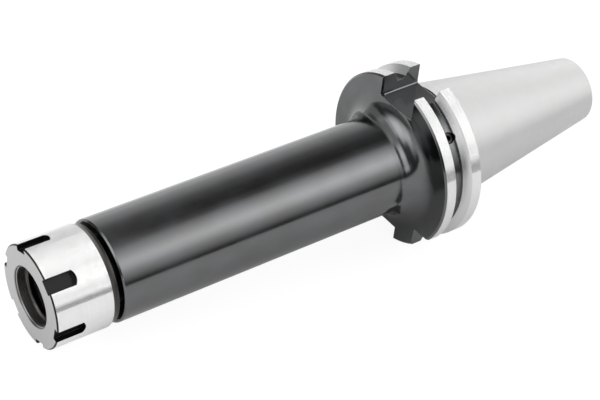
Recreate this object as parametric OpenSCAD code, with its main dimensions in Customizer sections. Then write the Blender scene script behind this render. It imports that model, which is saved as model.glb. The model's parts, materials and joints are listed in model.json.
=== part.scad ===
// Collet chuck holder: a 7:24 taper shank with a gripper flange, a long slender body
// and a slotted clamping nut whose pressure ring turns on balls.
// The tool axis runs along Z in each module, with the gauge line at zero and the nose up.
// lying() then lays the holder down as it rests on a bench, on one drive slot and its nut.

/* [Shank] */
// Diameter of the 7:24 taper at the gauge line
gauge_d = 44.45; // [44:0.05:45]
// Length of the taper behind the gauge line
taper_l = 68.4; // [66:0.2:70]
// Chamfer round the small end of the taper
tail_edge = 0.6; // [0.3:0.1:1]
// Diameter of the pilot bore for the pull stud
pilot_d = 17; // [16.6:0.1:17.6]
// Depth of the pilot bore
pilot_l = 7; // [5:0.5:9]
// Core diameter of the pull stud's tapped hole
stud_core_d = 14; // [13.6:0.1:14.6]
// Depth of the tapped hole from the small end
stud_hole_l = 43; // [38:1:48]
// Diameter of the coolant passage through the middle
passage_d = 8; // [6:0.5:10]
// Chamfer at the mouth of each bore
mouth_chamfer = 0.5; // [0.3:0.1:0.8]

/* [Flange] */
// Diameter of the gripper flange
flange_d = 63.55; // [62:0.05:65]
// Rear face of the flange, from the gauge line
flange_back = 3.2; // [3:0.1:3.6]
// Front face of the flange, from the gauge line
flange_front = 19.1; // [18.5:0.1:20]
// Middle of the gripper groove, from the gauge line
groove_at = 11.1; // [10.8:0.1:11.4]
// Diameter of the groove's floor
groove_floor_d = 56.25; // [55.5:0.05:57]
// Width of the groove's floor
groove_floor_w = 2.86; // [2.4:0.02:3.2]
// Angle between the groove's flanks
groove_angle = 60; // [54:1:64]
// Chamfer on the flange's front rim
front_edge = 0.6; // [0.3:0.1:0.9]
// Chamfer on the flange's rear rim
rear_edge = 0.3; // [0.2:0.1:0.6]
// End of the ground taper, from the gauge line
grind_end = 1.9; // [1.4:0.1:2.4]
// Depth of the relief between the ground taper and the flange
grind_relief = 0.3; // [0.1:0.05:0.5]

/* [Drive slots] */
// Width of the two drive slots
slot_w = 16.1; // [15:0.1:17]
// Height of the deep slot's floor above the axis
deep_floor = 22.8; // [22.7:0.1:24]
// Height of the shallow slot's floor above the axis
shallow_floor = 25; // [24:0.1:26]
// Radius along the foot of each slot wall
slot_root_r = 1; // [0.5:0.1:1.5]
// Chamfer where the slot walls meet the flange's front face
slot_edge = 0.6; // [0.3:0.1:0.9]
// Turn of the orientation notch from the shallow slot
notch_turn = 45; // [40:1:50]
// Width of the notch at the rim
notch_w = 11; // [9:0.5:13]
// Height of the notch's root above the axis
notch_root = 26.4; // [26:0.1:28]

/* [Groove screws] */
// Diameter of the set screws in the groove
screw_d = 4; // [3:0.5:4.5]
// Length of a set screw
screw_l = 5; // [4:0.5:6]
// Depth of a set screw's hole below the groove's floor
screw_hole_l = 8; // [7:0.5:9]
// Depth of a set screw's outer end below the groove's floor
screw_sink = 0.6; // [0.3:0.1:1]
// Width across the flats of a set screw's socket
screw_key = 2; // [1.5:0.1:2.2]
// Turn of the screw that shows from the shallow slot
screw_turn = 135; // [130:1:140]

/* [Body] */
// Distance from the gauge line to the front face of the nut
gauge_l = 160; // [100:1:200]
// Diameter of the body
body_d = 35; // [32:0.5:38]
// Radius of the fillet between the body and the flange
fillet_r = 8; // [5:0.5:8.5]
// Chamfer on the body's front edge
body_edge = 0.5; // [0.3:0.1:0.8]

/* [Nose] */
// Outer diameter of the nose thread
thread_d = 25; // [24:0.1:25.6]
// Depth of the thread's run-out groove
runout_depth = 1.1; // [0.8:0.1:1.3]
// Width of the thread's run-out groove
runout_l = 2.5; // [2:0.1:3]
// Chamfer at the start of the thread
thread_lead = 0.8; // [0.5:0.1:1]
// Diameter of the collet seat at its mouth
seat_d = 21; // [20:0.1:21.6]
// Half angle of the collet seat
seat_angle = 8; // [7:0.5:9]
// Diameter of the bore behind the seat
tool_bore_d = 13.5; // [12:0.5:14]
// Depth of that bore from the nose
tool_bore_l = 75; // [50:1:78]

/* [Clamping nut] */
// Diameter of the nut
nut_d = 35; // [33:0.5:38]
// Length of the nut
nut_l = 22.2; // [20:0.1:26]
// Chamfer on the nut's front rim
nut_edge = 0.45; // [0.3:0.05:0.7]
// Diameter of the turned step at the back of the nut
step_d = 33.5; // [31:0.1:34]
// Length of that step
step_l = 0.8; // [0.5:0.1:1.2]
// Length of the bevel between the step and the rim
back_bevel_l = 1.5; // [0.8:0.1:2]
// Travel of the nut from rest until it seats on the body
travel_in = 1.5; // [1:0.1:2]
// Number of wrench slots
wrench_slots = 6; // [4:1:8]
// Width of a wrench slot
wrench_w = 5; // [4:0.1:6]
// Depth of a wrench slot
wrench_depth = 2; // [1.5:0.1:2.4]
// Length of a wrench slot along its middle
wrench_l = 10; // [8:0.5:12]
// Radius of a wrench slot's closed end
wrench_end_r = 4; // [3.5:0.1:6]
// Turn of the first wrench slot from the shallow drive slot
wrench_turn = 19.5; // [14:0.5:24]

/* [Pressure ring] */
// Largest diameter of the pressure ring
ring_d = 23.2; // [22.6:0.1:24]
// Length of the pressure ring
ring_l = 9.6; // [9.4:0.1:10.2]
// Diameter of the ring's front lip
ring_lip_d = 20.6; // [20:0.1:21]
// Length of the ring's front lip
ring_lip_l = 2.3; // [2:0.1:2.6]
// Distance of the lip behind the nut's face
ring_inset = 0.4; // [0.2:0.1:0.8]
// Diameter of the ring's throat
throat_d = 17.8; // [17:0.1:18.6]
// Wall of the front lip round the sealing disc's seat
lip_wall = 0.35; // [0.3:0.05:0.5]
// Depth of the sealing disc's seat in front of the throat
disc_seat_l = 3.5; // [3.2:0.1:3.7]
// Length of the throat
throat_l = 0.5; // [0.3:0.1:0.8]
// Half angle of the clamping cone behind the throat
clamp_angle = 30; // [25:1:35]
// Diameter behind the clamping cone
collar_d = 19.8; // [19.2:0.1:20]
// Opening of the extraction lip
extract_d = 18.7; // [18.2:0.1:18.9]
// Distance of the extraction lip's circle from the axis
extract_offset = 0.4; // [0.2:0.05:0.45]
// Distance of the extraction lip from the ring's front
extract_at = 6.8; // [6.7:0.1:7]
// Length of the extraction lip
extract_l = 1.1; // [0.8:0.1:1.4]
// Wall of the ring's skirt behind the extraction lip
skirt_wall = 0.9; // [0.6:0.1:1.2]
// Diameter of the bearing balls
ball_d = 2; // [1.6:0.1:2.2]
// Distance of the ball race from the ring's back
race_back = 3.4; // [3.2:0.1:3.6]

/* [Hidden] */
$fn = 96;

// Radial clearances of what turns or screws in
thread_clear = 0.05;
ring_clear = 0.1;
ball_clear = 0.03;
screw_clear = 0.03;
// Clearances along the axis
ring_play = 0.2;
nut_stop = 0.2;
nose_stop = 0.5;

// The standard taper narrows by 7 in every 24 of its length
taper_rate = 7 / 24 / 2;
function taper_r(s) = gauge_d / 2 + s * taper_rate;

over = 1; // how far a cutter runs past the face it opens
drill_cone = tan(31); // a drill point's height for each unit of its radius

flange_r = flange_d / 2;
groove_r = groove_floor_d / 2;
groove_half_mouth = groove_floor_w / 2 + (flange_r - groove_r) * tan(groove_angle / 2);
neck_r = taper_r(grind_end) - grind_relief;

// Places inside the nut, as distances from the gauge line
lip_front = gauge_l - ring_inset;
ring_shoulder = lip_front - ring_lip_l;
ring_back = lip_front - ring_l;
pocket_front = ring_shoulder + ring_play;
pocket_back = ring_back - ring_play;
throat_front = lip_front - disc_seat_l;
throat_back = throat_front - throat_l;
clamp_back = throat_back - (collar_d - throat_d) / 2 / tan(clamp_angle);
extract_front = lip_front - extract_at;
extract_back = extract_front - extract_l;
race_at = ring_back + race_back;
pocket_r = ring_d / 2 + ring_clear;
race_r = ring_d / 2 + ring_clear / 2;
balls = floor(180 / asin((ball_d / 2 + ball_clear) / race_r));

// The nose and the body end so that the nut has its inward travel
nut_back = gauge_l - nut_l;
body_front = nut_back - travel_in - nut_stop;
nose_end = ring_back - travel_in - nose_stop;
seat_l = (seat_d - tool_bore_d) / 2 / tan(seat_angle);
tool_bore_end = nose_end - tool_bore_l;

// The holder rests on the two rim corners of its shallow slot and on the nut's front rim
corner_h = sqrt(flange_r ^ 2 - (slot_w / 2) ^ 2);
corner_at = flange_front - front_edge;
rim_at = gauge_l - nut_edge;
lie_tilt = atan((corner_h - nut_d / 2) / (rim_at - corner_at));
lie_z = corner_at * sin(lie_tilt) + corner_h * cos(lie_tilt);
tail_x = -taper_l * cos(lie_tilt) - (taper_r(-taper_l) - tail_edge) * sin(lie_tilt);
face_x = gauge_l * cos(lie_tilt) + (nut_d / 2 - nut_edge) * sin(lie_tilt);
lie_x = -(tail_x + face_x) / 2;

// Lays what is modelled about the tool axis on the bench, with the shallow slot underneath
module lying() {
    translate([lie_x, 0, lie_z])
        rotate([0, 90 + lie_tilt, 0])
            children();
}

// A bore from one place on the axis to a later one
module bore(r, from, to) {
    translate([0, 0, from])
        cylinder(r = r, h = to - from);
}

// A round cone on the axis
module cone(r1, r2, from, to) {
    translate([0, 0, from])
        cylinder(r1 = r1, r2 = r2, h = to - from);
}

// The turned outside of the shank, the flange, the body and the nose
module turned_outline() {
    difference() {
        polygon([
            [0, -taper_l],
            [taper_r(-taper_l) - tail_edge, -taper_l],
            [taper_r(-taper_l + tail_edge), -taper_l + tail_edge],
            [taper_r(grind_end), grind_end],
            [neck_r, grind_end],
            [neck_r, flange_back],
            [flange_r - rear_edge, flange_back],
            [flange_r, flange_back + rear_edge],
            [flange_r, groove_at - groove_half_mouth],
            [groove_r, groove_at - groove_floor_w / 2],
            [groove_r, groove_at + groove_floor_w / 2],
            [flange_r, groove_at + groove_half_mouth],
            [flange_r, flange_front - front_edge],
            [flange_r - front_edge, flange_front],
            [body_d / 2 + fillet_r, flange_front],
            [body_d / 2, flange_front + fillet_r],
            [body_d / 2, body_front - body_edge],
            [body_d / 2 - body_edge, body_front],
            [thread_d / 2 - runout_depth, body_front],
            [thread_d / 2 - runout_depth, body_front + runout_l - runout_depth / 2],
            [thread_d / 2, body_front + runout_l + runout_depth / 2],
            [thread_d / 2, nose_end - thread_lead],
            [thread_d / 2 - thread_lead, nose_end],
            [0, nose_end]
        ]);
        translate([body_d / 2 + fillet_r, flange_front + fillet_r])
            circle(r = fillet_r);
    }
}

// The pull stud's pilot and tapped hole, the coolant passage, the tool bore and the seat
module axial_bores() {
    tail = -taper_l;
    cone(pilot_d / 2 + mouth_chamfer + over, pilot_d / 2, tail - over, tail + mouth_chamfer);
    bore(pilot_d / 2, tail - over, tail + pilot_l);
    bore(stud_core_d / 2, tail, tail + stud_hole_l);
    cone(stud_core_d / 2, 0, tail + stud_hole_l, tail + stud_hole_l + stud_core_d / 2 * drill_cone);
    bore(passage_d / 2, tail, nose_end);
    cone(0, tool_bore_d / 2, tool_bore_end - tool_bore_d / 2 * drill_cone, tool_bore_end);
    bore(tool_bore_d / 2, tool_bore_end, nose_end);
    cone(tool_bore_d / 2, seat_d / 2, nose_end - seat_l, nose_end);
    cone(seat_d / 2, seat_d / 2 + mouth_chamfer + over, nose_end - mouth_chamfer, nose_end + over);
}

// A drive slot cut along the axis, with rounded wall feet, on the side of positive X
module drive_slot(floor_h) {
    half = slot_w / 2;
    top = flange_r + over;
    from = flange_back - over;
    long = flange_front + fillet_r - from;
    translate([floor_h + slot_root_r, -half, from])
        cube([top - floor_h, slot_w, long]);
    translate([floor_h, -half + slot_root_r, from])
        cube([top - floor_h, slot_w - 2 * slot_root_r, long]);
    for (side = [-1, 1]) {
        translate([floor_h + slot_root_r, side * (half - slot_root_r), from])
            cylinder(r = slot_root_r, h = long);
        slot_wall_chamfer(floor_h, half, side);
    }
}

// The chamfer along the front edge of the slot wall on one side, from the floor to the rim
module slot_wall_chamfer(floor_h, half, side) {
    low = flange_front - slot_edge;
    wide = slot_edge + over;
    translate([flange_r + over, 0, 0])
        rotate([0, -90, 0])
            linear_extrude(flange_r + over - floor_h)
                polygon([
                    [low - over, side * (half - over)],
                    [low + wide, side * (half + wide)],
                    [low + wide, side * (half - over)]
                ]);
}

// The V notch that marks one side of the front land
module orientation_notch() {
    rise = flange_r + over - notch_root;
    half = notch_w / 2 * rise / (flange_r * cos(asin(notch_w / flange_d)) - notch_root);
    rotate([0, 0, notch_turn])
        translate([0, 0, groove_at + groove_floor_w / 2])
            linear_extrude(flange_front - groove_at)
                polygon([
                    [notch_root, 0],
                    [notch_root + rise, half],
                    [notch_root + rise, -half]
                ]);
}

// Children at the two places of the groove screws, with +X pointing out through the floor
module at_screws() {
    for (turn = [screw_turn, screw_turn + 180])
        rotate([0, 0, turn])
            translate([0, 0, groove_at])
                children();
}

// A drilled hole for a groove screw
module screw_hole() {
    hole_r = screw_d / 2 + screw_clear;
    bottom = groove_r - screw_hole_l;
    translate([bottom, 0, 0])
        rotate([0, 90, 0])
            cylinder(r = hole_r, h = flange_r - bottom);
    translate([bottom - hole_r * drill_cone, 0, 0])
        rotate([0, 90, 0])
            cylinder(r1 = 0, r2 = hole_r, h = hole_r * drill_cone);
}

module holder_body() {
    color("dimgray")
        lying()
            difference() {
                rotate_extrude()
                    turned_outline();
                axial_bores();
                drive_slot(shallow_floor);
                rotate([0, 0, 180])
                    drive_slot(deep_floor);
                orientation_notch();
                at_screws()
                    screw_hole();
            }
}

module groove_screws() {
    outer_end = groove_r - screw_sink;
    point = 0.6; // chamfer at each end of the screw
    color("black")
        lying()
            at_screws()
                translate([outer_end - screw_l, 0, 0])
                    rotate([0, 90, 0])
                        difference() {
                            union() {
                                cylinder(r1 = screw_d / 2 - point, r2 = screw_d / 2, h = point);
                                translate([0, 0, point])
                                    cylinder(d = screw_d, h = screw_l - 1.5 * point);
                                translate([0, 0, screw_l - point / 2])
                                    cylinder(r1 = screw_d / 2, r2 = screw_d / 2 - point / 2, h = point / 2);
                            }
                            translate([0, 0, screw_l / 2])
                                cylinder(d = screw_key / cos(30), h = screw_l, $fn = 6);
                        }
}

// The nut's turned section, open inside for the thread, the ring and its mouth
module nut_section() {
    nut_r = nut_d / 2;
    thread_r = thread_d / 2 + thread_clear;
    mouth_r = ring_lip_d / 2 + ring_clear;
    polygon([
        [thread_r + thread_lead, nut_back],
        [step_d / 2, nut_back],
        [step_d / 2, nut_back + step_l],
        [nut_r, nut_back + step_l + back_bevel_l],
        [nut_r, gauge_l - nut_edge],
        [nut_r - nut_edge, gauge_l],
        [mouth_r + nut_edge / 2, gauge_l],
        [mouth_r, gauge_l - nut_edge / 2],
        [mouth_r, pocket_front],
        [pocket_r, pocket_front],
        [pocket_r, pocket_back],
        [thread_r, pocket_back],
        [thread_r, nut_back + thread_lead]
    ]);
}

// The ball race, turned half in the nut and half in the ring
module race() {
    translate([race_r, race_at])
        circle(r = ball_d / 2 + ball_clear);
}

// A wrench slot open to the front, its closed end a shallow arc
module wrench_slot() {
    floor_r = nut_d / 2 - wrench_depth;
    arc_at = gauge_l - wrench_l + wrench_end_r;
    intersection() {
        translate([floor_r, -wrench_w / 2, gauge_l - wrench_l - over])
            cube([wrench_depth + over, wrench_w, wrench_l + 2 * over]);
        union() {
            translate([floor_r - over, 0, arc_at])
                rotate([0, 90, 0])
                    cylinder(r = wrench_end_r, h = wrench_depth + 3 * over);
            translate([floor_r - over, -wrench_w, arc_at])
                cube([wrench_depth + 3 * over, 2 * wrench_w, wrench_l]);
        }
    }
}

module clamping_nut() {
    color("silver")
        lying()
            difference() {
                rotate_extrude()
                    difference() {
                        nut_section();
                        race();
                    }
                for (i = [0 : wrench_slots - 1])
                    rotate([0, 0, wrench_turn + i * 360 / wrench_slots])
                        wrench_slot();
            }
}

// The ring's turned section: a lip round the sealing disc's seat, the throat, the clamping
// cone, the extraction lip and the skirt
module ring_section() {
    lip_r = ring_lip_d / 2;
    seat_r = lip_r - lip_wall;
    lead = lip_wall * 0.7; // chamfer at the mouth of the disc's seat
    throat_edge = 0.15; // chamfer on the throat's front edge
    skirt_r = ring_d / 2 - skirt_wall;
    polygon([
        [skirt_r, ring_back],
        [ring_d / 2, ring_back],
        [ring_d / 2, ring_shoulder],
        [lip_r, ring_shoulder],
        [lip_r, lip_front],
        [seat_r + lead, lip_front],
        [seat_r, lip_front - lead],
        [seat_r, throat_front],
        [throat_d / 2 + throat_edge, throat_front],
        [throat_d / 2, throat_front - throat_edge],
        [throat_d / 2, throat_back],
        [collar_d / 2, clamp_back],
        [collar_d / 2, extract_front],
        [extract_d / 2 - 2 * extract_offset, extract_front],
        [extract_d / 2 - 2 * extract_offset, extract_back],
        [skirt_r, extract_back]
    ]);
}

module pressure_ring() {
    color("lightgray")
        lying()
            difference() {
                rotate_extrude()
                    difference() {
                        ring_section();
                        race();
                    }
                translate([extract_offset, 0, extract_back - over / 10])
                    cylinder(d = extract_d, h = extract_front - extract_back + over / 5);
            }
}

module bearing_balls() {
    color("gray")
        lying()
            for (i = [0 : balls - 1])
                rotate([0, 0, i * 360 / balls])
                    translate([race_r, 0, race_at])
                        sphere(d = ball_d, $fn = 24);
}

holder_body();
clamping_nut();
pressure_ring();
bearing_balls();
groove_screws();
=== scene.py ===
# Dresses the collet chuck holder: its steel finishes, screw threads, floor, light and camera.
import json
import math

import bmesh
import bpy
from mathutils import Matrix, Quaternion, Vector

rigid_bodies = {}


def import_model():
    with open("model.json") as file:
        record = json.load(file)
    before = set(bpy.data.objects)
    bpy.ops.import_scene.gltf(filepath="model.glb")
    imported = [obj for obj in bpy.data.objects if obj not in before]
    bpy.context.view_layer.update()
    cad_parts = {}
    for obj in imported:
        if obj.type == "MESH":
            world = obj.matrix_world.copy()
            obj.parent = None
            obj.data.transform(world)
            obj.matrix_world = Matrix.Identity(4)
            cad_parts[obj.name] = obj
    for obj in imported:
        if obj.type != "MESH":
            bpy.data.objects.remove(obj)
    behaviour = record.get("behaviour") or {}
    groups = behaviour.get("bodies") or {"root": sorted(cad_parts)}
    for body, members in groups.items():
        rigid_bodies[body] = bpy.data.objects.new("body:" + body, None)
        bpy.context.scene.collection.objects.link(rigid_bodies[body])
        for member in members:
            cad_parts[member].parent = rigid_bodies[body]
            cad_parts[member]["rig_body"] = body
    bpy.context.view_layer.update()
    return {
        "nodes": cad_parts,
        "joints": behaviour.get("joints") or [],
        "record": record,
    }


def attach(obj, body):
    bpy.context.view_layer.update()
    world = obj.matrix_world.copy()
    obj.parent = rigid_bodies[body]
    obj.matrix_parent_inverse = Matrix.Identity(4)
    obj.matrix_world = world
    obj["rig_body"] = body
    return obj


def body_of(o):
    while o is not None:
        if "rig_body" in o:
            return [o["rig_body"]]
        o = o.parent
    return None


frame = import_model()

MM = 0.001

# The tool axis in the part's frame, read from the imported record
mounts = {m["name"]: m for m in frame["record"]["mounts"]}
NOSE = Vector(frame["joints"][0]["axis"]).normalized()
GAUGE = Vector(mounts["taper_shank"]["pos_m"])
ACROSS = Vector((0, 1, 0))
SLOT = ACROSS.cross(NOSE)

# Sizes of the solids, in millimetres. A station counts from the gauge line towards the nose, and a
# radius from the tool axis.
TAPER_R, TAPER_RATE, TAPER_END = 22.225, 7 / 48, 1.9
TAIL, TAIL_EDGE, PILOT_MOUTH_R = -68.4, 0.6, 9.0
STUD_R, STUD_PITCH, STUD_START, STUD_END = 7.0, 2.0, -61.4, -25.4
FLANGE_R = 31.775
GROOVE_R, GROOVE_BACK, GROOVE_FRONT = 28.125, 7.56, 14.64
TOOL_BORE_R, SEAT_START, SEAT_MOUTH_R = 6.75, 121.3, 10.5
THREAD_R, THREAD_PITCH, RUNOUT_GROOVE, NOSE_END = 12.5, 1.5, 137.4, 148.0
NUT_R, NUT_BEVEL_END, NUT_FACE = 17.5, 140.1, 160.0
NUT_THREAD_MOUTH_R, NUT_MOUTH_R, NUT_MOUTH_EDGE = 13.35, 10.4, 0.225
RING_FRONT, RING_EDGE, DISC_SEAT_R = 159.6, 0.25, 9.95

# How far a polygon's corner may lie from the size that it is tested against
SLACK = 0.1


def along(p):
    """Distance of a point from the gauge line towards the nose, in millimetres."""
    return (p - GAUGE).dot(NOSE) / MM


def off_axis(p):
    """Distance of a point from the tool axis, in millimetres."""
    return (p - GAUGE).cross(NOSE).length / MM


def place(s, r, turn):
    """The point at a station, a radius and a turn about the tool axis from the shallow slot."""
    out = SLOT * math.cos(turn) + ACROSS * math.sin(turn)
    return GAUGE + (NOSE * s + out * r) * MM


def grey(level, warm=0.0):
    """A colour of one level, with its red raised and its blue lowered by the share warm."""
    return (level * (1 + warm), level, level * (1 - warm), 1.0)


def fill_ramp(ramp, stops):
    """Gives a colour ramp its stops, each a position and a grey level."""
    for position, _ in stops[1:-1]:
        ramp.elements.new(position)
    for element, (position, level) in zip(ramp.elements, stops):
        element.position = position
        element.color = grey(level)


class Signal:
    """A node's output socket. Arithmetic on it adds the Math nodes that it needs."""

    def __init__(self, graph, socket):
        self.graph = graph
        self.socket = socket

    def __add__(self, other):
        return self.graph.math("ADD", self, other)

    def __sub__(self, other):
        return self.graph.math("SUBTRACT", self, other)

    def __rsub__(self, other):
        return self.graph.math("SUBTRACT", other, self)

    def __mul__(self, other):
        return self.graph.math("MULTIPLY", self, other)

    def __truediv__(self, other):
        return self.graph.math("DIVIDE", self, other)

    def __rtruediv__(self, other):
        return self.graph.math("DIVIDE", other, self)

    def __gt__(self, other):
        return self.graph.math("GREATER_THAN", self, other)

    def __lt__(self, other):
        return self.graph.math("LESS_THAN", self, other)

    __radd__ = __add__
    __rmul__ = __mul__

    def ramp(self, low, high, start=0.0, end=1.0):
        """Goes smoothly from start to end as this signal goes from low to high."""
        sockets = {"Value": self, "From Min": low, "From Max": high, "To Min": start, "To Max": end}
        return self.graph.node("ShaderNodeMapRange", {"interpolation_type": "SMOOTHSTEP"}, sockets)

    def stretched(self, start=0.0, end=1.0):
        """A noise, most of which lies between 0.3 and 0.7, stretched to go from start to end."""
        return self.ramp(0.3, 0.7, start, end)


class Graph:
    """A node tree that is filled from Python expressions."""

    def __init__(self, tree):
        self.tree = tree
        tree.nodes.clear()

    def node(self, kind, settings=None, sockets=None, output=0):
        """Adds a node: its settings first, then the value or the link of each socket."""
        made = self.tree.nodes.new(kind)
        for name, value in (settings or {}).items():
            if name == "stops":
                fill_ramp(made.color_ramp, value)
            else:
                setattr(made, name, value)
        for name, value in (sockets or {}).items():
            if isinstance(value, Signal):
                self.tree.links.new(value.socket, made.inputs[name])
            else:
                made.inputs[name].default_value = value
        return Signal(self, made.outputs[output]) if made.outputs else made

    def math(self, operation, *values):
        return self.node("ShaderNodeMath", {"operation": operation}, dict(enumerate(values)))

    def length(self, x, y):
        return self.math("SQRT", x * x + y * y)

    def vector_math(self, operation, *values):
        return self.node("ShaderNodeVectorMath", {"operation": operation}, dict(enumerate(values)))

    def dot(self, a, b):
        return self.node("ShaderNodeVectorMath", {"operation": "DOT_PRODUCT"}, {0: a, 1: b}, "Value")

    def vector(self, x, y, z):
        return self.node("ShaderNodeCombineXYZ", {}, {0: x, 1: y, 2: z})

    def blend(self, factor, a, b):
        """The colour a where factor is 0 and b where it is 1."""
        return self.node("ShaderNodeMix", {"data_type": "RGBA"}, {0: factor, 6: a, 7: b}, output=2)

    def noise(self, vector, scale, detail):
        sockets = {"Vector": vector, "Scale": scale, "Detail": detail, "Roughness": 0.5}
        return self.node("ShaderNodeTexNoise", {}, sockets)

    def ray_kinds(self):
        """1 for a ray from the camera, for one off metal and for one through glass."""
        kinds = ("Is Camera Ray", "Is Glossy Ray", "Is Transmission Ray")
        return [self.node("ShaderNodeLightPath", output=kind) for kind in kinds]

    def tool_coordinates(self):
        """The station on the tool axis and the two offsets from it, in millimetres."""
        here = self.node("ShaderNodeTexCoord", output="Object")
        s = (self.dot(here, NOSE) - GAUGE.dot(NOSE)) / MM
        u = (self.dot(here, SLOT) - GAUGE.dot(SLOT)) / MM
        v = self.dot(here, ACROSS) / MM
        return s, u, v


def make_material(name, surface):
    """A material with the shader that surface adds to its node tree."""
    material = bpy.data.materials.new(name)
    material.use_nodes = True
    graph = Graph(material.node_tree)
    graph.node("ShaderNodeOutputMaterial", {}, {"Surface": surface(graph)})
    return material


def steel(name, build):
    """A material whose Principled shader has the socket values that build gives."""
    return make_material(name, lambda graph: graph.node("ShaderNodeBsdfPrincipled", {}, build(graph)))


# Radii over which edges look broken, and over which they are painted bright, as rubbed oxide and as a
# painted highlight, in millimetres
BRIGHT_EDGE, BLACK_EDGE = 0.12, 0.2
WEAR_AND_GLINT_RADIUS_BLACK, WEAR_AND_GLINT_RADIUS_TURNED = 0.22, 0.2
# Levels of the bare steel painted at the edges, which stands for rubbed oxide and for a painted
# highlight where the edges catch the light
WEAR_AND_GLINT_LEVEL_BLACK, WEAR_AND_GLINT_LEVEL_TURNED = 0.6, 0.75
# The radius on the groove's flank from which the grinding wheel has cleaned it
FLANK_START = 28.85


def ring_marks(graph, s, u, v, across, around):
    """Noise drawn out into rings about the tool axis, as a lathe or a grinding wheel leaves."""
    return graph.noise(graph.vector(s * across, u * around, v * around), 1.0, detail=3.0)


def rounded_normal(graph, radius):
    """The surface's normal, turned over the edges as if they had a radius in millimetres."""
    return graph.node("ShaderNodeBevel", {"samples": 6}, {"Radius": radius * MM})


def marked_normal(graph, radius, marks, depth):
    """The normal with its edges rounded and with marks as deep as depth, in millimetres."""
    normal = rounded_normal(graph, radius)
    sockets = {"Height": marks, "Distance": depth * MM, "Strength": 1.0, "Normal": normal}
    return graph.node("ShaderNodeBump", {}, sockets)


def worn_and_glinting_edge(graph, radius):
    """1 at an edge, 0 on the faces past a radius from it."""
    flat = graph.node("ShaderNodeNewGeometry", output="Normal")
    alike = graph.dot(rounded_normal(graph, radius), flat)
    # The painted edge, rubbed oxide and painted highlight in one, begins where the two normals part by
    # 22 degrees and is full where they part by 39
    return alike.ramp(0.93, 0.78)


def ground(level, roughness, spread, mottle=0.03):
    """Bright steel ground round the tool axis.

    The grinding marks are too fine to see. Each tilts the surface along the axis by its own amount,
    mostly less than spread, so reflections smear along the tool and stay sharp round it.
    """

    def build(graph):
        s, u, v = graph.tool_coordinates()
        spot = graph.vector(s, u, v)
        marks = graph.node("ShaderNodeTexWhiteNoise", {}, {"Vector": spot}, output="Color")
        # The sum of three even random numbers gathers about its middle, 1.5
        slope = (graph.dot(marks, (1, 1, 1)) - 1.5) * spread
        tilt = graph.node("ShaderNodeVectorMath", {"operation": "SCALE"}, {0: NOSE, "Scale": slope})
        tilted = graph.vector_math("ADD", rounded_normal(graph, BRIGHT_EDGE), tilt)
        rings = ring_marks(graph, s, u, v, across=3.0, around=0.02)
        cloud = graph.noise(spot, 0.18, detail=3.0)
        duller = grey(level * (1 - mottle), warm=0.004)
        brighter = grey(level * (1 + mottle))
        shade = graph.blend(cloud.stretched(), duller, brighter)
        return {
            "Base Color": graph.blend(rings.stretched(0.0, 0.06), shade, grey(level * 0.6)),
            "Metallic": 1.0,
            "Roughness": cloud.stretched(roughness - 0.01, roughness + 0.01),
            "Normal": graph.vector_math("NORMALIZE", tilted),
        }

    return build


def blackened(level, roughness, wear_and_glint):
    """Steel with a black oxide finish, painted brighter along its edges as rubbed oxide and as a
    painted highlight.
    """

    def build(graph):
        s, u, v = graph.tool_coordinates()
        grain = graph.noise(graph.vector(s, u, v), 9.0, detail=3.0)
        cloud = graph.noise(graph.vector(s * 0.6, u, v), 0.12, detail=3.0)
        turned = ring_marks(graph, s, u, v, across=2.2, around=0.03)
        shade = graph.blend(cloud.stretched(), grey(level * 0.92), grey(level * 1.05, warm=-0.03))
        # Edges painted toward bare steel: rubbed oxide, and a painted highlight where they catch the
        # light
        rubbed_and_glinting = worn_and_glinting_edge(graph, WEAR_AND_GLINT_RADIUS_BLACK) * grain.ramp(0.2, 0.5, 0.5, 1.0) * wear_and_glint
        return {
            "Base Color": graph.blend(rubbed_and_glinting, shade, grey(WEAR_AND_GLINT_LEVEL_BLACK)),
            "Metallic": 1.0,
            "Roughness": cloud.ramp(0.25, 0.75, roughness - 0.03, roughness + 0.03),
            "Normal": marked_normal(graph, BLACK_EDGE, grain * 0.6 + turned * 0.4, depth=0.0025),
        }

    return build


def turned_face(level, roughness, warm=0.0, wear_and_glint=0.0):
    """A face turned in the lathe, with fine rings about the axis."""

    def build(graph):
        s, u, v = graph.tool_coordinates()
        radius = graph.length(u, v)
        rings = graph.noise(graph.vector(radius * 7.0, s * 7.0, u * 0.04), 1.0, detail=3.0)
        cloud = graph.noise(graph.vector(s, u, v), 0.35, detail=3.0)
        shade = graph.blend(rings.stretched(), grey(level * 0.95, warm), grey(level * 1.04, warm))
        shade = graph.blend(cloud.stretched(0.0, 0.2), shade, grey(level * 0.88, warm))
        # Edges painted toward bright steel: rubbed oxide, and a painted highlight where they catch the
        # light
        if wear_and_glint:
            shade = graph.blend(worn_and_glinting_edge(graph, WEAR_AND_GLINT_RADIUS_TURNED) * wear_and_glint, shade, grey(WEAR_AND_GLINT_LEVEL_TURNED))
        return {
            "Base Color": shade,
            "Metallic": 1.0,
            "Roughness": rings.stretched(roughness - 0.04, roughness + 0.04),
            "Normal": marked_normal(graph, BRIGHT_EDGE, rings, depth=0.003),
        }

    return build


def groove_flank(graph):
    """The groove's flank: black at its foot, ground bright where the gripper seats."""
    _, u, v = graph.tool_coordinates()
    radius = graph.length(u, v)
    bright = radius > FLANK_START
    marks = graph.noise(graph.vector(radius / 0.08, u * 0.02, v * 0.02), 1.0, detail=2.0)
    return {
        "Base Color": graph.blend(bright, grey(0.1), grey(0.62)),
        "Metallic": 1.0,
        "Roughness": bright * 0.06 + 0.2,
        "Normal": marked_normal(graph, BRIGHT_EDGE, marks, depth=0.006),
    }


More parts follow.
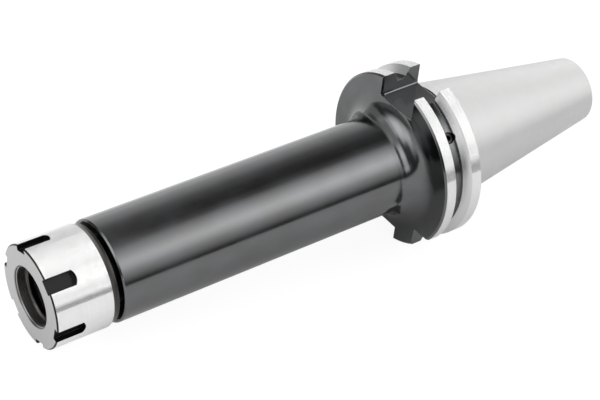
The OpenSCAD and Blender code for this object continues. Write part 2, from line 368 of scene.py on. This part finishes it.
taper_ground = steel("ground_taper", ground(level=0.565, roughness=0.39, spread=0.43, mottle=0.012))
land_ground = steel("ground_lands", ground(level=0.69, roughness=0.055, spread=0.73))
nut_ground = steel("ground_nut", ground(level=0.76, roughness=0.055, spread=0.73, mottle=0.02))
seat_ground = steel("ground_seat", ground(level=0.3, roughness=0.22, spread=0.3))
ball_polish = steel("ball_steel", ground(level=0.75, roughness=0.08, spread=0.02))
# The last number of a blackened or turned finish sets how bright its edges are painted, as rubbed oxide
# and painted highlight
body_black = steel("blackened_body", blackened(level=0.137, roughness=0.14, wear_and_glint=0.7))
# The nut's black oxide, at a fifth of the body's level: painted shade of its wrench slots over the real
# black
slot_black_and_shade = steel("blackened_slots_and_shade", blackened(level=0.028, roughness=0.42, wear_and_glint=0.1))
screw_black = steel("screw_black", blackened(level=0.07, roughness=0.35, wear_and_glint=0.05))
bevel_black = steel("blackened_bevel", turned_face(level=0.055, roughness=0.3, warm=0.06, wear_and_glint=0.25))
face_satin = steel("nut_face", turned_face(level=0.49, roughness=0.36))
bore_steel = steel("bored_steel", turned_face(level=0.1, roughness=0.36, warm=0.08))
ring_rim = steel("ring_rim", turned_face(level=0.3, roughness=0.3))
ring_wall = steel("ring_disc_seat", turned_face(level=0.4, roughness=0.3, warm=0.03))
ring_dark = steel("ring_inside", turned_face(level=0.06, roughness=0.3, wear_and_glint=0.9))
flank_finish = steel("groove_flank", groove_flank)


def dress(node, materials, choose):
    """Gives each polygon of a CAD node one of the materials.

    The function choose picks it by the corners' stations and radii, and by how squarely the polygon
    faces the nose: 1 for a front face, 0 for a cylinder, -1 for a rear face.
    """
    mesh = frame["nodes"][node].data
    mesh.materials.clear()
    for material in materials:
        mesh.materials.append(material)
    for polygon in mesh.polygons:
        corners = [mesh.vertices[i].co for i in polygon.vertices]
        stations = [along(p) for p in corners]
        radii = [off_axis(p) for p in corners]
        polygon.material_index = materials.index(choose(stations, radii, polygon.normal.dot(NOSE)))


# How squarely the flanks of the 60 degree groove face the nose or the tail
FLANK_FACING = math.cos(math.radians(30))


def holder_finish(stations, radii, forward):
    low, high = min(stations), max(stations)
    inner, outer = min(radii), max(radii)
    on_taper = all(abs(r - TAPER_R - s * TAPER_RATE) < SLACK for s, r in zip(stations, radii))
    if high < TAPER_END + SLACK and on_taper:
        return taper_ground
    if high < TAIL + TAIL_EDGE + SLACK and outer > PILOT_MOUTH_R + SLACK:
        return face_satin
    if high < 0 and outer < PILOT_MOUTH_R + SLACK:
        return bore_steel
    if inner > FLANGE_R - SLACK:
        return land_ground
    in_groove = inner > GROOVE_R - SLACK and low > GROOVE_BACK - SLACK and high < GROOVE_FRONT + SLACK
    if in_groove and abs(abs(forward) - FLANK_FACING) < 0.05:
        return flank_finish
    in_seat = inner > TOOL_BORE_R - SLACK and outer < SEAT_MOUTH_R + SLACK
    if in_seat and low > SEAT_START - SLACK and abs(forward) < 0.5:
        return seat_ground
    if outer < TOOL_BORE_R + SLACK:
        return bore_steel
    return body_black


def nut_finish(stations, radii, forward):
    low, high = min(stations), max(stations)
    inner, outer = min(radii), max(radii)
    if inner > NUT_R - SLACK and abs(forward) < 0.1:
        return nut_ground
    if low > NUT_FACE - SLACK and forward > 0.9:
        return face_satin
    if low > NUT_FACE - NUT_MOUTH_EDGE - SLACK and outer < NUT_MOUTH_R + NUT_MOUTH_EDGE + SLACK:
        return ring_rim
    if outer < NUT_THREAD_MOUTH_R + SLACK:
        return bore_steel
    if high < NUT_BEVEL_END + SLACK:
        return bevel_black
    # The rest of the nut, its wrench slots above all, is black oxide darkened with painted shade
    return slot_black_and_shade


def ring_finish(stations, radii, forward):
    if min(stations) > RING_FRONT - RING_EDGE - SLACK:
        return ring_rim
    if min(radii) > DISC_SEAT_R - SLACK and abs(forward) < 0.1:
        return ring_wall
    return ring_dark


dress(
    "holder_body",
    [body_black, taper_ground, land_ground, flank_finish, seat_ground, bore_steel, face_satin],
    holder_finish,
)
dress(
    "clamping_nut",
    [nut_ground, face_satin, slot_black_and_shade, bevel_black, bore_steel, ring_rim],
    nut_finish,
)
dress("pressure_ring", [ring_rim, ring_wall, ring_dark], ring_finish)
dress("bearing_balls", [ball_polish], lambda stations, radii, forward: ball_polish)
dress("groove_screws", [screw_black], lambda stations, radii, forward: screw_black)


def add_object(name, mesh):
    """An object in the scene with the shape of a bmesh, which is then freed."""
    data = bpy.data.meshes.new(name)
    mesh.to_mesh(data)
    mesh.free()
    made = bpy.data.objects.new(name, data)
    bpy.context.scene.collection.objects.link(made)
    return made


# A metric thread: the half angle of its V, half the flat at its root, and its depth outside and
# inside, the last three as shares of the pitch
V_HALF_ANGLE = math.radians(30)
HALF_FLAT, OUTSIDE_DEPTH, INSIDE_DEPTH = 1 / 16, 0.61, 0.54
# A thread cutter's steps in a turn, how far it stands proud of the wall and runs past the end that it
# opens, and the share of its height that is left where it runs out
STEPS, PROUD, OVER, LAST_SHARE = 48, 0.1, 1.0, 0.02


def thread_cutter(name, start, end, pitch, root_r, open_r, fade=0.0):
    """A closed V ridge wound about the axis, which cuts a thread's groove.

    The ridge is wide at open_r and narrow at root_r. It runs out over its last turns, fade of them.
    """
    count = int((end - start) / pitch * STEPS)
    half_root = pitch * HALF_FLAT
    half_open = half_root + abs(open_r - root_r) * math.tan(V_HALF_ANGLE)
    mesh = bmesh.new()
    rings = []
    for i in range(count + 1):
        turn = 2 * math.pi * i / STEPS
        s = start + pitch * i / STEPS
        share = min(1.0, (count - i) / (fade * STEPS) + LAST_SHARE) if fade else 1.0
        root = open_r + (root_r - open_r) * share
        half = half_root + (half_open - half_root) * share
        corners = [(s - half, open_r), (s - half_root, root), (s + half_root, root), (s + half, open_r)]
        rings.append([mesh.verts.new(place(a, r, turn)) for a, r in corners])
    for back, front in zip(rings, rings[1:]):
        for i in range(4):
            j = (i + 1) % 4
            mesh.faces.new((back[i], back[j], front[j], front[i]))
    mesh.faces.new(rings[0][::-1])
    mesh.faces.new(rings[-1])
    bmesh.ops.recalc_face_normals(mesh, faces=mesh.faces)
    cutter = add_object(name, mesh)
    cutter.hide_render = True
    cutter.hide_viewport = True
    return cutter


# Edges that bend less than SHARP_ANGLE look smooth. Corners within WELD_DISTANCE, in metres, are one.
SHARP_ANGLE = math.radians(30)
WELD_DISTANCE = 1e-6


def smooth_by_angle():
    """A modifier's node group that shades smooth across edges flatter than SHARP_ANGLE."""
    tree = bpy.data.node_groups.new("smooth_by_angle", "GeometryNodeTree")
    for side in ("INPUT", "OUTPUT"):
        tree.interface.new_socket("Geometry", in_out=side, socket_type="NodeSocketGeometry")
    graph = Graph(tree)
    solid = graph.node("NodeGroupInput")
    flat = graph.node("GeometryNodeInputMeshEdgeAngle", output="Unsigned Angle") < SHARP_ANGLE
    solid = graph.node("GeometryNodeSetShadeSmooth", {"domain": "FACE"}, {"Geometry": solid})
    sockets = {"Geometry": solid, "Shade Smooth": flat}
    solid = graph.node("GeometryNodeSetShadeSmooth", {"domain": "EDGE"}, sockets)
    graph.node("NodeGroupOutput", {}, {"Geometry": solid})
    return tree


def cut_threads(node, cutters):
    """Cuts thread grooves into a CAD node with modifiers, which leave its own mesh as it is."""
    solid = frame["nodes"][node]
    weld = solid.modifiers.new("weld", "WELD")
    weld.merge_threshold = WELD_DISTANCE
    for cutter in cutters:
        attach(cutter, body_of(solid)[0])
        cut = solid.modifiers.new(cutter.name, "BOOLEAN")
        cut.operation = "DIFFERENCE"
        cut.solver = "EXACT"
        cut.object = cutter
    shade = solid.modifiers.new("shade", "NODES")
    shade.node_group = smooth_by_angle()


nose_thread = thread_cutter(
    "nose_thread",
    start=RUNOUT_GROOVE,
    end=NOSE_END + OVER,
    pitch=THREAD_PITCH,
    root_r=THREAD_R - OUTSIDE_DEPTH * THREAD_PITCH,
    open_r=THREAD_R + PROUD,
)
# The tap stops three pitches short of the bottom of the stud's hole
stud_thread = thread_cutter(
    "stud_thread",
    start=STUD_START - OVER,
    end=STUD_END - 3 * STUD_PITCH,
    pitch=STUD_PITCH,
    root_r=STUD_R + INSIDE_DEPTH * STUD_PITCH,
    open_r=STUD_R - PROUD,
    fade=1.5,
)
cut_threads("holder_body", [nose_thread, stud_thread])

# The floor is a disc of paper, measured in metres. Metal shows the shadow on it within NEAR of the
# tool and plain white past FAR. Both reaches grow towards the taper and shrink towards the nut.
FLOOR_R, HALF_LENGTH = 0.5, 0.11
NEAR, FAR, WIDENING = 0.03, 0.1, 0.5
# The paper's colour, the strength of its plain white, and the share of that white where it shows
PAPER, WHITE, WHITE_SHARE = 0.85, 1.08, 0.85


def white_paper(graph):
    """Paper that takes the light and the tool's shadow, and shows as plain white.

    The camera sees the white with a trace of the shadow. So does metal, but near the tool it sees
    only the lit paper, as dark as the shadow makes it.
    """
    here = graph.node("ShaderNodeTexCoord", output="Object")
    ahead = graph.dot(here, (1, 0, 0))
    beside = graph.dot(here, (0, 1, 0))
    beyond_ends = graph.math("MAXIMUM", graph.math("ABSOLUTE", ahead) - HALF_LENGTH, 0.0)
    clearance = graph.length(beyond_ends, beside) + ahead * WIDENING
    from_camera, mirrored, through = graph.ray_kinds()
    plain = (from_camera + (mirrored + through) * clearance.ramp(NEAR, FAR)) * WHITE_SHARE
    lit = graph.node("ShaderNodeBsdfDiffuse", {}, {"Color": grey(PAPER)})
    white = graph.node("ShaderNodeEmission", {}, {"Color": grey(1.0), "Strength": WHITE})
    return graph.node("ShaderNodeMixShader", {}, {0: plain, 1: lit, 2: white})


disc = bmesh.new()
bmesh.ops.create_circle(disc, cap_ends=True, segments=96, radius=FLOOR_R)
floor = add_object("floor", disc)
floor.data.materials.append(make_material("white_paper", white_paper))

# Soft studio light in strips along the tool: the level at each angle round the X axis, in degrees,
# from the horizon on the camera's side (0) past overhead (90) to the far horizon (180). No level is
# higher than TOP_LEVEL.
TOP_LEVEL = 3.0
BEHIND_TAIL = [
    (-180, 1.1), (-1, 1.2), (8, 1.8), (27, 1.2), (50, 0.8), (81, 1.4), (108, 2.1), (135, 2.4),
    (180, 2.1),
]
BESIDE_BODY = [
    (-180, 1.0), (-12, 0.5), (-3, 0.14), (2, 0.14), (12, 0.75), (24, 1.4), (36, 2.5), (45, 2.95),
    (54, 2.5), (72, 1.2), (82, 0.3), (94, 0.1), (110, 0.15), (130, 0.42), (150, 1.0), (180, 1.35),
]
BESIDE_NUT = [
    (-180, 0.5), (0, 0.05), (9, 0.1), (14, 0.6), (22, 0.15), (54, 0.06), (63, 0.45), (72, 0.9),
    (81, 1.2), (99, 0.85), (132, 0.65), (150, 0.2), (168, 0.3), (180, 0.7),
]
BEFORE_NOSE = [
    (-180, 0.8), (0, 0.05), (5, 0.05), (8, 1.3), (14, 2.1), (22, 1.7), (36, 2.4), (45, 2.7),
    (54, 2.3), (63, 1.7), (72, 0.85), (120, 0.8), (135, 1.0), (150, 0.6), (180, 0.55),
]
PAST_NOSE = [
    (-180, 0.3), (2, 0.05), (12, 0.4), (24, 0.15), (60, 0.15), (75, 0.4), (92, 1.8), (130, 1.6),
    (146, 0.1), (180, 0.15),
]
AHEAD = [
    (-180, 0.4), (2, 0.1), (54, 0.2), (66, 1.2), (80, 2.5), (98, 3.0), (120, 2.9), (135, 1.8),
    (150, 0.3), (160, 0.1), (180, 0.45),
]
FAR_AHEAD = [
    (-180, 0.4), (5, 0.1), (30, 0.7), (50, 1.4), (86, 2.6), (114, 2.1), (135, 1.5), (155, 0.2),
    (180, 0.35),
]
# Each row takes over from the one before as the direction's part along X, which is -1 behind the tail
# and 1 ahead of the nose, goes from its first number to its second
NEXT_BANDS = [
    (-0.72, -0.6, BESIDE_BODY),
    (-0.33, -0.2, BESIDE_NUT),
    (-0.1, 0.03, BEFORE_NOSE),
    (0.28, 0.4, PAST_NOSE),
    (0.48, 0.6, AHEAD),
    (0.78, 0.88, FAR_AHEAD),
]
# The same part of the direction, from where the strips begin to give way to plain white to where
# they have
PAST_STRIPS = (0.95, 0.99)


def strips(graph, turn, stops):
    """The light's level at each angle round the tool, from a table of angles and levels."""
    scaled = [((180 + angle) / 360, level / TOP_LEVEL) for angle, level in stops]
    return graph.node("ShaderNodeValToRGB", {"stops": scaled}, {0: (turn + 1) / 2}) * TOP_LEVEL


def studio(graph):
    """The light of the strips, with plain white behind them.

    The camera sees only the white, as does a ray through glass. Metal sees the strips, and the white
    straight ahead of the nose alone.
    """
    sky = graph.node("ShaderNodeTexCoord", output="Generated")
    lengthwise = graph.dot(sky, (1, 0, 0))
    turn = graph.math("ARCTAN2", graph.dot(sky, (0, 0, 1)), graph.dot(sky, (0, 1, 0))) / math.pi
    tent = strips(graph, turn, BEHIND_TAIL)
    for low, high, stops in NEXT_BANDS:
        tent = tent + (strips(graph, turn, stops) - tent) * lengthwise.ramp(low, high)
    from_camera, mirrored, through = graph.ray_kinds()
    plain = from_camera + through + mirrored * lengthwise.ramp(*PAST_STRIPS)
    level = (tent - 1) * (1 - plain) + 1
    return graph.node("ShaderNodeBackground", {}, {"Color": grey(1.0), "Strength": level})


world = bpy.data.worlds.new("studio")
bpy.context.scene.world = world
world.use_nodes = True
graph = Graph(world.node_tree)
graph.node("ShaderNodeOutputWorld", {}, {"Surface": studio(graph)})
bpy.context.scene.view_settings.view_transform = "Standard"

# Camera at the photo's angle: its place in metres, its turns in degrees, lens and film in millimetres
CAMERA_AT = Vector((0.31524, 0.33594, 0.35117))
CAMERA_AZIMUTH, CAMERA_ELEVATION, CAMERA_ROLL = 137.79, 35.804, -11.149
LENS, FILM = 98.15, 36


def heading(azimuth, elevation):
    """Unit vector towards an azimuth, counted from -Y towards X, and an elevation."""
    a, e = math.radians(azimuth), math.radians(elevation)
    return Vector((math.sin(a) * math.cos(e), -math.cos(a) * math.cos(e), math.sin(e)))


lens = bpy.data.cameras.new("camera")
lens.lens = LENS
lens.sensor_width = FILM
lens.clip_start, lens.clip_end = 0.01, 20
camera = bpy.data.objects.new("camera", lens)
bpy.context.scene.collection.objects.link(camera)
view = -heading(CAMERA_AZIMUTH, CAMERA_ELEVATION)
camera.rotation_mode = "QUATERNION"
camera.rotation_quaternion = Quaternion(view, math.radians(CAMERA_ROLL)) @ view.to_track_quat("-Z", "Y")
camera.location = CAMERA_AT
bpy.context.scene.camera = camera
